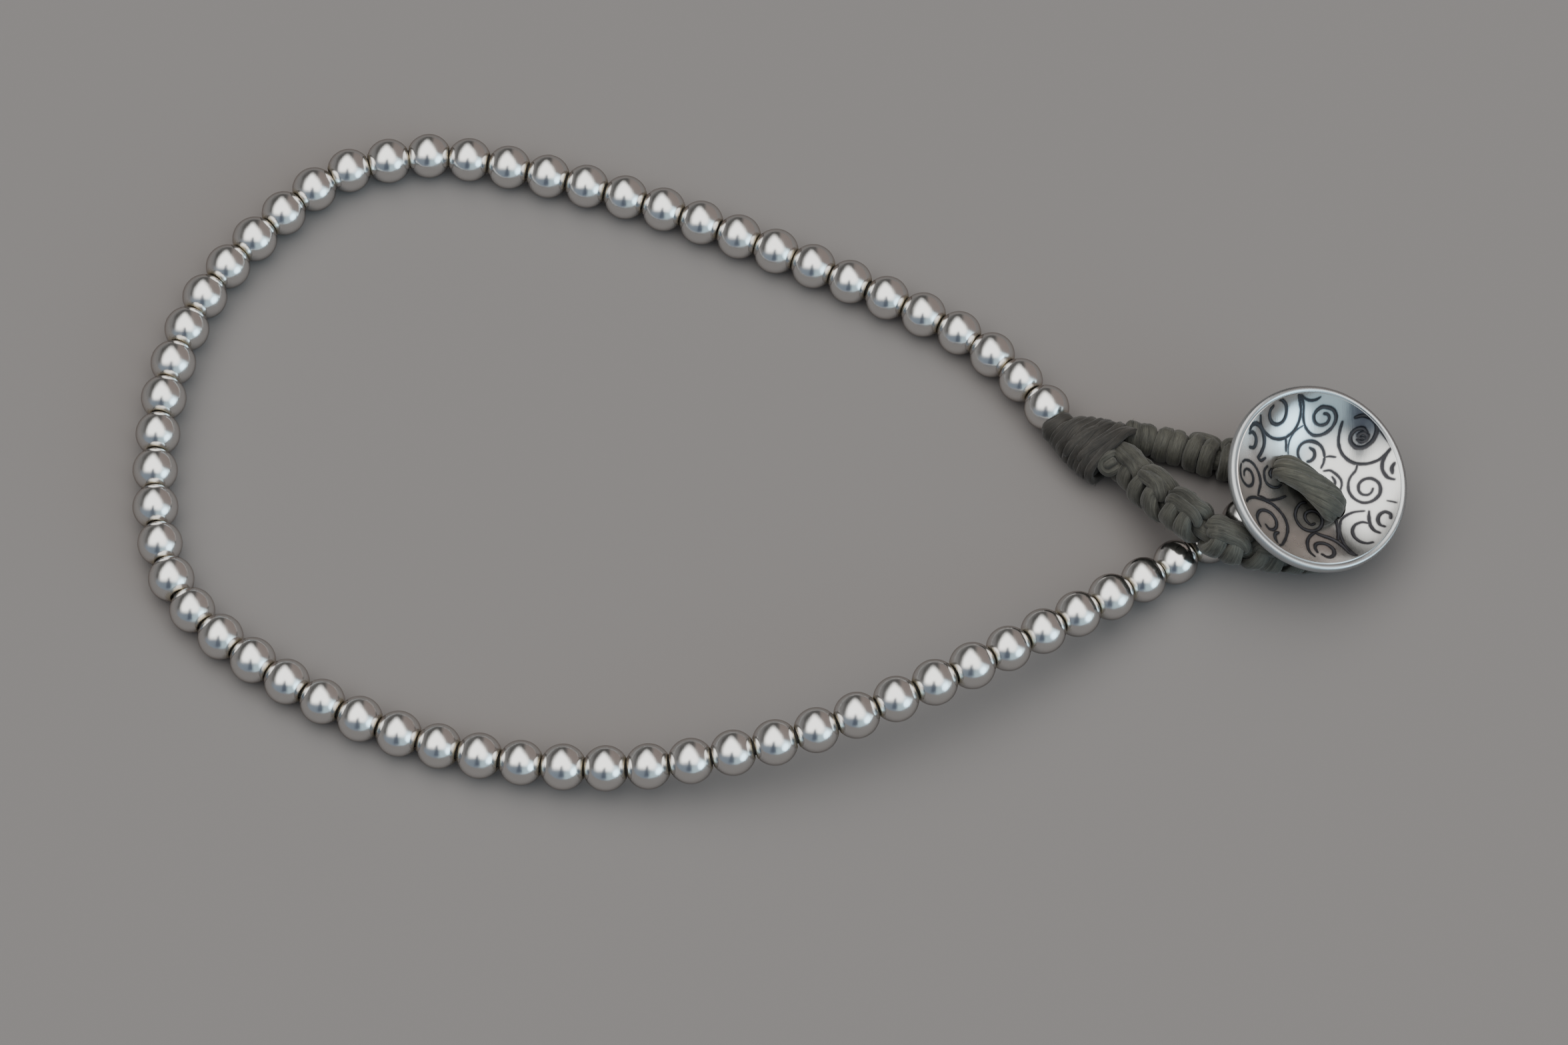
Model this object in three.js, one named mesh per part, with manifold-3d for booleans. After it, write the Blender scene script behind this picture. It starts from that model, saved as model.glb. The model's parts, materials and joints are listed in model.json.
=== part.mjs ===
// A wrist bracelet lying on a table: a string of small round silver beads whose cord ends are bound into
// a knotted loop, closed over a dished silver button with two holes. Millimetres, +Z up, table at z = 0.
// X runs along the bracelet towards the button, and the origin is under the middle of its outline.
import * as THREE from "three";
import { mergeVertices } from "three/addons/utils/BufferGeometryUtils.js";
import Module from "manifold-3d";

// Driving dimensions.
const GAP = 0.3; // between pieces that touch on the real bracelet
const BEAD_DIAMETER = 3;
const BEAD_LENGTH = 2.415; // between the flat ends round the hole
const BEAD_PITCH = 2.715;
const BEAD_COUNT = 62;
const BEADS_PER_STRETCH = 3;
const BEAD_SIDES = 10;
const THREAD_DIAMETER = 1;

const CORD_SIDES = 10;
const WHIPPING_SIDES = 12;
const TURN_CROWN = 0.1; // how far a turn of the whipping stands out between its grooves
const TAIL_DIAMETER = 1.1;
const TAIL_LENGTH = 1;

const KNOT_COUNT = 14; // hitches along the loop
const KNOT_GROOVE = 0.86; // share of the full thickness that is left between two hitches
const KNOT_HOOD = 1.04; // and at the middle of a hitch

const BUTTON_RADIUS = 6.1;
const BUTTON_CENTRE = new THREE.Vector3(35.5, -4.3, 6.2); // middle of the plane of its rim
const BUTTON_NORMAL = new THREE.Vector3(0.32, -0.22, 0.92).normalize();
const BUTTON_SEGMENTS = 36;
const DISH_DEPTH = 2.2;
const BUTTON_WALL = 0.9;
const RIM_WIDTH = 0.5;
const HOLE_RADIUS = 0.95;
const HOLE_SPACING = 4.1;
const HOLE_TURN = -0.55; // radians from the button's own X axis to the line through both holes
const HOLE_SHIFT = new THREE.Vector2(0.1, -0.5); // middle of that line, off the middle of the button

const STITCH_HALF_WIDTH = 0.95;
const STITCH_HALF_HEIGHT = 0.6;
const STRAND_RADIUS = 0.56; // each leg of the stitch in its hole and under the button

// The bead string's centre line from inside the whipping, round the far curve and back to the button.
const STRING_ROUTE = [
  [19.5, 1.9, 1.8],
  [18.3, 3.5, 1.8],
  [15, 7.5, 1.5],
  [10.4, 10.7, 1.5],
  [0.7, 15.6, 1.5],
  [-9.3, 19.8, 1.5],
  [-20, 22.8, 1.5],
  [-25.4, 22.6, 1.5],
  [-30.3, 20.2, 1.5],
  [-37, 12, 1.5],
  [-39.5, 1.7, 1.6],
  [-38, -9.3, 1.5],
  [-30.4, -16.5, 1.5],
  [-20.4, -21.2, 1.6],
  [-9.5, -23.1, 2.4],
  [1.1, -21.9, 3.9],
  [11.1, -17.9, 4.5],
  [19.9, -12.5, 3.2],
  [26, -8.1, 1.6],
  [28.2, -6.5, 1.5],
  [31.2, -4.3, 2.1],
];
const FIRST_BEAD = 2; // from the start of that line to the middle of the first bead

// The grooves between the whipping's turns, from the bead to the loop.
const WHIPPING = [
  { x: 19.25, y: 2.35, z: 1.75, heading: -50, halfWidth: 1.0, halfHeight: 1.0 },
  { x: 19.6, y: 1.95, z: 1.7, heading: -48, halfWidth: 1.05, halfHeight: 1.05 },
  { x: 19.9, y: 1.65, z: 1.65, heading: -44, halfWidth: 1.1, halfHeight: 1.1 },
  { x: 20.05, y: 1.52, z: 1.6, heading: -40, halfWidth: 1.55, halfHeight: 1.45 },
  { x: 20.5, y: 1.2, z: 1.6, heading: -36, halfWidth: 1.8, halfHeight: 1.6 },
  { x: 20.95, y: 0.9, z: 1.65, heading: -34, halfWidth: 2.0, halfHeight: 1.65 },
  { x: 21.35, y: 0.65, z: 1.7, heading: -32, halfWidth: 2.15, halfHeight: 1.7 },
  { x: 21.75, y: 0.4, z: 1.7, heading: -32, halfWidth: 2.25, halfHeight: 1.7 },
  { x: 22.15, y: 0.15, z: 1.7, heading: -32, halfWidth: 2.35, halfHeight: 1.7 },
];

// The trimmed cord end that stands out between the whipping and the loop's lower leg.
const TAIL = { from: [21.8, -1.78, 2.5], towards: [0, -0.4, 0.9] };

// The loop's centre line, from the whipping over the bead string, round the button's cord and back.
const LOOP = [
  { x: 22.8, y: -0.15, z: 1.85, radius: 1.0 },
  { x: 23.65, y: -1.35, z: 2.2, radius: 1.15 },
  { x: 25.05, y: -3.75, z: 3.4, radius: 1.3 },
  { x: 26.8, y: -5.85, z: 4.5, radius: 1.3 },
  { x: 28.6, y: -7.4, z: 4.6, radius: 1.3 },
  { x: 30.4, y: -7.9, z: 4, radius: 1.25 },
  { x: 32.1, y: -7.95, z: 3, radius: 1.2 },
  { x: 34.2, y: -7.6, z: 1.8, radius: 1.1 },
  { x: 36.6, y: -6.9, z: 1.1, radius: 1.0 },
  { x: 38.2, y: -4.9, z: 1.1, radius: 1.0 },
  { x: 37.5, y: -2.4, z: 1.1, radius: 1.0 },
  { x: 34.9, y: -0.9, z: 1.1, radius: 1.1 },
  { x: 31.8, y: -0.5, z: 1.2, radius: 1.2 },
  { x: 29.4, y: -0.2, z: 1.3, radius: 1.25 },
  { x: 28, y: 0.3, z: 1.3, radius: 1.25 },
  { x: 26.2, y: 0.9, z: 1.2, radius: 1.1 },
  { x: 24.8, y: 1.3, z: 1.4, radius: 1.0 },
  { x: 23.5, y: 1.5, z: 1.6, radius: 0.85 },
];

// The neck of cord runs from the last bead to this point under the button.
const NECK_END = [34.2, -3.3, 2.2];
const NECK_RADIUS = 0.8;

const silver = new THREE.MeshStandardMaterial({ color: 0xd9d6d0, metalness: 1, roughness: 0.16 });
const oxidisedSilver = new THREE.MeshStandardMaterial({ color: 0xc4c2be, metalness: 1, roughness: 0.24 });
const cord = new THREE.MeshStandardMaterial({ color: 0x4d4b3f, metalness: 0, roughness: 0.8 });

const wasm = await Module();
wasm.setup();

const bracelet = new THREE.Group();

function addPiece(name, geometry, material, parent = bracelet) {
  geometry.computeVertexNormals();
  const mesh = new THREE.Mesh(geometry, material);
  mesh.name = name;
  parent.add(mesh);
  return mesh;
}

function smoothCurve(points) {
  const curve = new THREE.CatmullRomCurve3(points, false, "catmullrom", 0.5);
  curve.arcLengthDivisions = 2000;
  return curve;
}

// A section's frame: across is level, and up leans with the slope.
function frameAlong(along) {
  const across = new THREE.Vector3(0, 0, 1).cross(along).normalize();
  return { across, up: along.clone().cross(across) };
}

// A section with a flat side at its bottom and the given half sizes from flat to flat.
function section(centre, across, up, halfWidth, halfHeight, sides) {
  const toCorner = 1 / Math.cos(Math.PI / sides);
  return Array.from({ length: sides }, (_, i) => {
    const angle = ((i + 0.5) * 2 * Math.PI) / sides - Math.PI / 2;
    return centre
      .clone()
      .addScaledVector(across, Math.cos(angle) * halfWidth * toCorner)
      .addScaledVector(up, Math.sin(angle) * halfHeight * toCorner);
  });
}

// Cord and beads lie flat on the table where a section would reach below it.
function restOnTable(points) {
  points.forEach((point) => (point.z = Math.max(point.z, 0)));
  return points;
}

// The closed surface over a row of sections, with a fan over each end or joined end to start.
function loft(sections, { ring = false, poles = [] } = {}) {
  const sides = sections[0].length;
  const points = sections.flat();
  const faces = [];
  const bands = ring ? sections.length : sections.length - 1;
  for (let s = 0; s < bands; s++) {
    const from = s * sides;
    const to = ((s + 1) % sections.length) * sides;
    for (let i = 0; i < sides; i++) {
      const next = (i + 1) % sides;
      faces.push(from + i, from + next, to + next, from + i, to + next, to + i);
    }
  }
  if (!ring) {
    const last = (sections.length - 1) * sides;
    const middle = (row) => row.reduce((sum, p) => sum.add(p), new THREE.Vector3()).divideScalar(sides);
    points.push(poles[0] ?? middle(sections[0]), poles[1] ?? middle(sections.at(-1)));
    for (let i = 0; i < sides; i++) {
      const next = (i + 1) % sides;
      faces.push(points.length - 2, next, i, points.length - 1, last + i, last + next);
    }
  }
  return new THREE.BufferGeometry().setFromPoints(points).setIndex(faces);
}

// Booleans, on closed geometries.
function solidOf(geometry) {
  const bare = geometry.clone();
  bare.deleteAttribute("normal");
  bare.deleteAttribute("uv");
  const merged = mergeVertices(bare);
  return new wasm.Manifold(
    new wasm.Mesh({
      numProp: 3,
      vertProperties: merged.attributes.position.array,
      triVerts: new Uint32Array(merged.index.array),
    }),
  );
}

function geometryOf(solid) {
  const mesh = solid.getMesh();
  const points = [];
  for (let i = 0; i < mesh.vertProperties.length; i += mesh.numProp)
    points.push(new THREE.Vector3().fromArray(mesh.vertProperties, i));
  return new THREE.BufferGeometry().setFromPoints(points).setIndex([...mesh.triVerts]);
}

// Beads: short stretches of the string, each bead straight in itself and joined to the next by the thread.
function placeBeads() {
  const route = smoothCurve(STRING_ROUTE.map((point) => new THREE.Vector3(...point)));
  const length = route.getLength();
  const centreAt = (i) => {
    const centre = route.getPointAt((FIRST_BEAD + i * BEAD_PITCH) / length);
    centre.z = Math.max(centre.z, BEAD_DIAMETER / 2);
    return centre;
  };
  return Array.from({ length: BEAD_COUNT }, (_, i) => {
    const [before, after] = [centreAt(Math.max(i - 0.5, 0)), centreAt(Math.min(i + 0.5, BEAD_COUNT - 1))];
    return { centre: centreAt(i), along: after.sub(before).normalize() };
  });
}

function beadStretch(beads) {
  const half = BEAD_LENGTH / 2;
  const radius = BEAD_DIAMETER / 2;
  const endRadius = Math.sqrt(radius ** 2 - half ** 2);
  const outline = [
    [-half, endRadius],
    [-radius * 0.27, radius],
    [radius * 0.27, radius],
    [half, endRadius],
  ];
  const thread = THREAD_DIAMETER / 2;
  const sections = beads.flatMap(({ centre, along }, i) => {
    const { across, up } = frameAlong(along);
    const steps = [...outline];
    if (i > 0) steps.unshift([-half, thread]);
    if (i < beads.length - 1) steps.push([half, thread]);
    return steps.map(([offset, size]) =>
      restOnTable(
        section(centre.clone().addScaledVector(along, offset), across, up, size, size, BEAD_SIDES),
      ),
    );
  });
  return loft(sections);
}

const beads = placeBeads();
for (let first = 0; first < BEAD_COUNT; first += BEADS_PER_STRETCH) {
  const number = String(first / BEADS_PER_STRETCH + 1).padStart(2, "0");
  addPiece(`bead_stretch_${number}`, beadStretch(beads.slice(first, first + BEADS_PER_STRETCH)), silver);
}

// Whipping: a crowned turn between each two grooves, flat underneath where it lies on the table.
function whipping() {
  const rowAt = (row, crown) => {
    const heading = THREE.MathUtils.degToRad(row.heading);
    const { across, up } = frameAlong(new THREE.Vector3(Math.cos(heading), Math.sin(heading), 0));
    const centre = new THREE.Vector3(row.x, row.y, row.z);
    const outline = section(
      centre, across, up, row.halfWidth + crown, row.halfHeight + crown, WHIPPING_SIDES,
    );
    return restOnTable(outline);
  };
  const between = (a, b) =>
    Object.fromEntries(Object.keys(a).map((key) => [key, (a[key] + b[key]) / 2]));
  const sections = WHIPPING.flatMap((row, i) => {
    const next = WHIPPING[i + 1];
    return next ? [rowAt(row, 0), rowAt(between(row, next), TURN_CROWN)] : [rowAt(row, 0)];
  });
  return loft(sections);
}

addPiece("neck_whipping", whipping(), cord);

function cordTail() {
  const along = new THREE.Vector3(...TAIL.towards).normalize();
  const { across, up } = frameAlong(along);
  const from = new THREE.Vector3(...TAIL.from);
  const radius = TAIL_DIAMETER / 2;
  const outline = [
    [0, 0.9],
    [TAIL_LENGTH * 0.7, 1],
    [TAIL_LENGTH, 0.75],
  ];
  return loft(
    outline.map(([share, size]) =>
      section(
        from.clone().addScaledVector(along, share * TAIL_LENGTH),
        across, up, size * radius, size * radius, CORD_SIDES,
      ),
    ),
  );
}

addPiece("cord_tail", cordTail(), cord);

// Loop: one swept body with a groove between each two hitches.
function buttonLoop() {
  const route = smoothCurve(LOOP.map(({ x, y, z }) => new THREE.Vector3(x, y, z)));
  const radii = smoothCurve(LOOP.map(({ radius }) => new THREE.Vector3(radius, 0, 0)));
  const swell = [KNOT_GROOVE, 1, KNOT_HOOD, 1];
  const steps = KNOT_COUNT * swell.length;
  const sections = Array.from({ length: steps + 1 }, (_, i) => {
    const along = route.getTangentAt(i / steps);
    const { across, up } = frameAlong(along);
    const centre = route.getPointAt(i / steps);
    const thickness = radii.getPoint(route.getUtoTmapping(i / steps)).x * swell[i % swell.length];
    centre.z = Math.max(centre.z, thickness);
    return restOnTable(section(centre, across, up, thickness, thickness, CORD_SIDES));
  });
  return loft(sections);
}

addPiece("button_loop", buttonLoop(), cord);

// Button: a dish in its own frame, with its rim in the plane z = 0 and its hollow facing +Z.
const button = new THREE.Group();
button.position.copy(BUTTON_CENTRE);
button.quaternion.setFromUnitVectors(new THREE.Vector3(0, 0, 1), BUTTON_NORMAL);
bracelet.add(button);

const dishRadius = BUTTON_RADIUS - RIM_WIDTH;
const dishSphere = (dishRadius ** 2 + DISH_DEPTH ** 2) / (2 * DISH_DEPTH);
const innerHeight = (r) => dishSphere - DISH_DEPTH - Math.sqrt(dishSphere ** 2 - r ** 2);
const holeLine = new THREE.Vector2(Math.cos(HOLE_TURN), Math.sin(HOLE_TURN));

function buttonDish() {
  const outerHeight = (r) => innerHeight(r) - BUTTON_WALL;
  const outline = [
    ...[0.25, 0.5, 0.75].map((share) => [share * dishRadius, outerHeight(share * dishRadius)]),
    [dishRadius, -BUTTON_WALL],
    [BUTTON_RADIUS - RIM_WIDTH * 0.2, -BUTTON_WALL * 0.8],
    [BUTTON_RADIUS, -BUTTON_WALL * 0.45],
    [BUTTON_RADIUS - RIM_WIDTH * 0.3, 0],
    [dishRadius, -0.05],
    ...[0.75, 0.5, 0.25].map((share) => [share * dishRadius, innerHeight(share * dishRadius)]),
  ];
  const level = (radius, height) =>
    Array.from({ length: BUTTON_SEGMENTS }, (_, i) => {
      const angle = (i * 2 * Math.PI) / BUTTON_SEGMENTS;
      return new THREE.Vector3(Math.cos(angle) * radius, Math.sin(angle) * radius, height);
    });
  const poles = [outerHeight(0), innerHeight(0)].map((height) => new THREE.Vector3(0, 0, height));
  let dish = solidOf(loft(outline.map(([radius, height]) => level(radius, height)), { poles }));
  for (const side of [-1, 1]) {
    const drill = new THREE.CylinderGeometry(HOLE_RADIUS, HOLE_RADIUS, 3 * DISH_DEPTH, 16);
    const place = HOLE_SHIFT.clone().addScaledVector(holeLine, (side * HOLE_SPACING) / 2);
    drill.rotateX(Math.PI / 2).translate(place.x, place.y, -DISH_DEPTH);
    dish = dish.subtract(solidOf(drill));
  }
  return geometryOf(dish);
}

addPiece("button", buttonDish(), oxidisedSilver, button);

// Button cord: a ring through both holes, with the fat stitch on the face, and the neck to the last bead.
function buttonCord() {
  const half = HOLE_SPACING / 2;
  const onFace = innerHeight(0) + GAP + STITCH_HALF_HEIGHT;
  const below = innerHeight(0) - BUTTON_WALL - GAP - STRAND_RADIUS;
  // Along the line through the holes, height, and how much of the stitch's full width there is.
  const ringRoute = [
    [-half, innerHeight(half) - BUTTON_WALL / 2, 0],
    [-half * 0.93, onFace - 0.35, 0.5],
    [-half * 0.6, onFace + 0.05, 1],
    [0, onFace + 0.1, 1],
    [half * 0.6, onFace + 0.05, 1],
    [half * 0.93, onFace - 0.35, 0.5],
    [half, innerHeight(half) - BUTTON_WALL / 2, 0],
    [half, below + 0.55, 0],
    [half * 0.6, below, 0],
    [0, below - 0.05, 0],
    [-half * 0.6, below, 0],
    [-half, below + 0.55, 0],
  ];
  const curve = new THREE.CatmullRomCurve3(
    ringRoute.map(([distance, height]) => new THREE.Vector3(distance, 0, height)),
    true,
    "catmullrom",
    0.5,
  );
  const steps = 2 * ringRoute.length;
  const across = new THREE.Vector3(0, -1, 0);
  const sections = Array.from({ length: steps }, (_, i) => {
    const along = curve.getTangent(i / steps);
    const at = Math.floor(i / 2);
    const next = (at + (i % 2)) % ringRoute.length;
    const fullness = (ringRoute[at][2] + ringRoute[next][2]) / 2;
    return section(
      curve.getPoint(i / steps),
      across,
      along.clone().cross(across),
      THREE.MathUtils.lerp(STRAND_RADIUS, STITCH_HALF_WIDTH, fullness),
      THREE.MathUtils.lerp(STRAND_RADIUS, STITCH_HALF_HEIGHT, fullness),
      CORD_SIDES,
    );
  });
  const ring = loft(sections, { ring: true });
  ring.rotateZ(HOLE_TURN).translate(HOLE_SHIFT.x, HOLE_SHIFT.y, 0);
  button.updateMatrix();
  ring.applyMatrix4(button.matrix);

  const last = beads.at(-1);
  const leaves = (distance) => last.centre.clone().addScaledVector(last.along, BEAD_LENGTH / 2 + distance);
  const neckRoute = smoothCurve([leaves(GAP), leaves(2 * GAP), new THREE.Vector3(...NECK_END)]);
  const neckSteps = 6;
  const neck = loft(
    Array.from({ length: neckSteps + 1 }, (_, i) => {
      const { across: level, up } = frameAlong(neckRoute.getTangentAt(i / neckSteps));
      const turn = NECK_RADIUS + (i % 2 ? TURN_CROWN : 0);
      return section(neckRoute.getPointAt(i / neckSteps), level, up, turn, turn, CORD_SIDES);
    }),
  );
  return geometryOf(solidOf(ring).add(solidOf(neck)));
}

addPiece("button_cord", buttonCord(), cord);

export default bracelet;
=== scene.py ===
import json
import math
import random

import bpy
from mathutils import Matrix, Vector, noise

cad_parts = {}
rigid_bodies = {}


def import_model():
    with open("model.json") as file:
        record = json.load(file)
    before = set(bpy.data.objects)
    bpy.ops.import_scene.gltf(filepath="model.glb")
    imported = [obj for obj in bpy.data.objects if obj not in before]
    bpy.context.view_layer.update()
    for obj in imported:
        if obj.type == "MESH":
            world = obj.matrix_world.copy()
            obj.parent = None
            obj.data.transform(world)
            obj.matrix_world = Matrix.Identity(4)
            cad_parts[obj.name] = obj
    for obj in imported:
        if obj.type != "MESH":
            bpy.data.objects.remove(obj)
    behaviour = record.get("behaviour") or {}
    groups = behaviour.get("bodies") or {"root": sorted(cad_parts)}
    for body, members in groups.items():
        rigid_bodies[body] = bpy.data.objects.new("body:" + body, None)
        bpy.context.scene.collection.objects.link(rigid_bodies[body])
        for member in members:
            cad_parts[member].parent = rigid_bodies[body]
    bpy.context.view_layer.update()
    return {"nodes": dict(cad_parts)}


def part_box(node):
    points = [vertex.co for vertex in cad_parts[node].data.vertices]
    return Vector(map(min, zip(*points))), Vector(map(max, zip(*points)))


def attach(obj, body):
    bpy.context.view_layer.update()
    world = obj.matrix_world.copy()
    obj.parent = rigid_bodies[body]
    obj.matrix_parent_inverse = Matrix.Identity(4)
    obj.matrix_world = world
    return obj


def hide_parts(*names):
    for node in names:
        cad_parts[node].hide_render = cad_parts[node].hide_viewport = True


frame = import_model()
MM = 0.001


# Camera: in front of the bracelet and looking steeply down on it, as a person at the table sees it.
# A long lens, so that near and far beads look almost alike in size.
LOOK_AT = Vector((1.2, -4.9, 1.5)) * MM
LOOK_DOWN = math.radians(61)
LOOK_DISTANCE = 0.4


def new_object(name, data):
    """An object linked to the scene."""
    body = bpy.data.objects.new(name, data)
    bpy.context.scene.collection.objects.link(body)
    return body


camera_data = bpy.data.cameras.new("camera")
camera_data.sensor_width = 36
camera_data.lens = 142.35
camera_data.clip_start = 0.01
camera_data.clip_end = 20
camera = new_object("camera", camera_data)
camera.location = LOOK_AT + Vector((0, -math.cos(LOOK_DOWN), math.sin(LOOK_DOWN))) * LOOK_DISTANCE
camera.rotation_euler = (math.pi / 2 - LOOK_DOWN, 0, 0)
bpy.context.scene.camera = camera


# Thread: dark olive waxed thread of many fine filaments runs through every bead and makes all the cord work.
# It is laid nearly straight, so the filaments show as fine lines along each strand.
class Value:
    """An output socket of a node, with arithmetic."""

    def __init__(self, nodes, socket):
        self.nodes = nodes
        self.socket = socket

    def other(self, name):
        return Value(self.nodes, self.socket.node.outputs[name])

    def math(self, operation, *terms):
        return self.nodes.add("ShaderNodeMath", {"operation": operation}, dict(enumerate(terms)))

    def __add__(self, term):
        return self.math("ADD", self, term)

    def __radd__(self, term):
        return self.math("ADD", term, self)

    def __sub__(self, term):
        return self.math("SUBTRACT", self, term)

    def __rsub__(self, term):
        return self.math("SUBTRACT", term, self)

    def __mul__(self, term):
        return self.math("MULTIPLY", self, term)

    def __rmul__(self, term):
        return self.math("MULTIPLY", term, self)

    def __truediv__(self, term):
        return self.math("DIVIDE", self, term)

    def __rtruediv__(self, term):
        return self.math("DIVIDE", term, self)


class Nodes:
    """An emptied node tree. add() makes a node, sets it, feeds its sockets and gives one output."""

    def __init__(self, tree):
        self.tree = tree
        tree.nodes.clear()

    def add(self, kind, settings=None, sockets=None, output=0):
        node = self.tree.nodes.new(kind)
        for name, value in (settings or {}).items():
            setattr(node, name, value)
        for key, value in (sockets or {}).items():
            if isinstance(value, Value):
                self.tree.links.new(value.socket, node.inputs[key])
            else:
                node.inputs[key].default_value = value
        return Value(self, node.outputs[output]) if node.outputs else None

    def smooth_step(self, value, low, high):
        limits = {"Value": value, "From Min": low, "From Max": high}
        return self.add("ShaderNodeMapRange", {"interpolation_type": "SMOOTHSTEP"}, limits)

    def vector(self, operation, first, second, output=0):
        return self.add("ShaderNodeVectorMath", {"operation": operation}, {0: first, 1: second}, output)

    def mix(self, share, first, second):
        sockets = {"Factor": share, 6: first, 7: second}
        return self.add("ShaderNodeMix", {"data_type": "RGBA"}, sockets, output=2)

    def grain(self, where, scale, detail=3.0, roughness=0.55):
        sockets = {"Vector": where, "Scale": scale, "Detail": detail, "Roughness": roughness}
        return self.add("ShaderNodeTexNoise", None, sockets)

    def combine(self, **parts):
        return self.add("ShaderNodeCombineXYZ", None, parts)

    def split(self, vector):
        return self.add("ShaderNodeSeparateXYZ", None, {"Vector": vector}, output="X")

    def bump(self, height, strength, distance, normal=None):
        sockets = {"Height": height, "Strength": strength, "Distance": distance}
        if normal:
            sockets["Normal"] = normal
        return self.add("ShaderNodeBump", None, sockets)

    def surface(self, sockets):
        shader = self.add("ShaderNodeBsdfPrincipled", None, sockets)
        self.add("ShaderNodeOutputMaterial", None, {"Surface": shader})


def new_finish(name):
    """An empty material and its nodes."""
    material = bpy.data.materials.new(name)
    material.use_nodes = True
    return material, Nodes(material.node_tree)


def thread_finish(name, shade, light):
    """Thread whose filaments run along it, between a dark and a light colour.

    The point attribute lay holds the cosine, the sine and the length at each point of a strand.
    """
    material, nodes = new_finish(name)
    lay = nodes.add("ShaderNodeAttribute", {"attribute_name": "lay"}, output="Vector")
    place = nodes.add("ShaderNodeTexCoord", output="Object")
    drift = nodes.grain(nodes.vector("MULTIPLY", lay, (0.8, 0.8, 0.7)), 1.0, 1.0).other("Color")
    lay = nodes.vector("ADD", lay, nodes.vector("MULTIPLY", drift, (0.4, 0.4, 0.0)))
    hairs = nodes.grain(nodes.vector("MULTIPLY", lay, (34.0, 34.0, 0.9)), 1.0, 1.0, 0.5)
    filaments = nodes.grain(nodes.vector("MULTIPLY", lay, (12.0, 12.0, 0.5)), 1.0, 2.0, 0.5)
    yarns = nodes.grain(nodes.vector("MULTIPLY", lay, (3.5, 3.5, 0.35)), 1.0, 1.0, 0.5)
    patches = nodes.grain(place, 700.0, 4.0, 0.6)
    height = hairs * 0.4 + filaments * 0.5 + yarns * 0.8
    wax = hairs * 0.55 + filaments * 0.4 + yarns * 0.3 + patches * 0.5
    lightness = nodes.smooth_step(wax, 0.55, 1.25)
    nodes.surface(
        {
            "Base Color": nodes.mix(lightness, (*shade, 1), (*light, 1)),
            "Roughness": 0.5 + 0.25 * filaments,
            "Normal": nodes.bump(height, 0.6, 0.00008),
            "Specular IOR Level": 0.35,
            "Sheen Weight": 0.16,
            "Sheen Roughness": 0.45,
        }
    )
    return material


def smooth_path(points, per_span=14):
    """A smooth line through every point, its ends carried on straight."""
    rows = [Vector(p) for p in points]
    rows = [rows[0] * 2 - rows[1], *rows, rows[-1] * 2 - rows[-2]]
    line = []
    for a, b, c, d in zip(rows, rows[1:], rows[2:], rows[3:]):
        for step in range(per_span):
            t = step / per_span
            slope_in, slope_out = (c - a) / 2, (d - b) / 2
            cubic = (b - c) * 2 + slope_in + slope_out
            square = (c - b) * 3 - slope_in * 2 - slope_out
            line.append(((cubic * t + square) * t + slope_in) * t + b)
    line.append(rows[-2])
    return line


def band(here, there, sides):
    """The faces between two rings of points that start at these numbers."""
    return [(here + k, here + (k + 1) % sides, there + (k + 1) % sides, there + k) for k in range(sides)]


HAIR_RADIUS = 0.012


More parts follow.
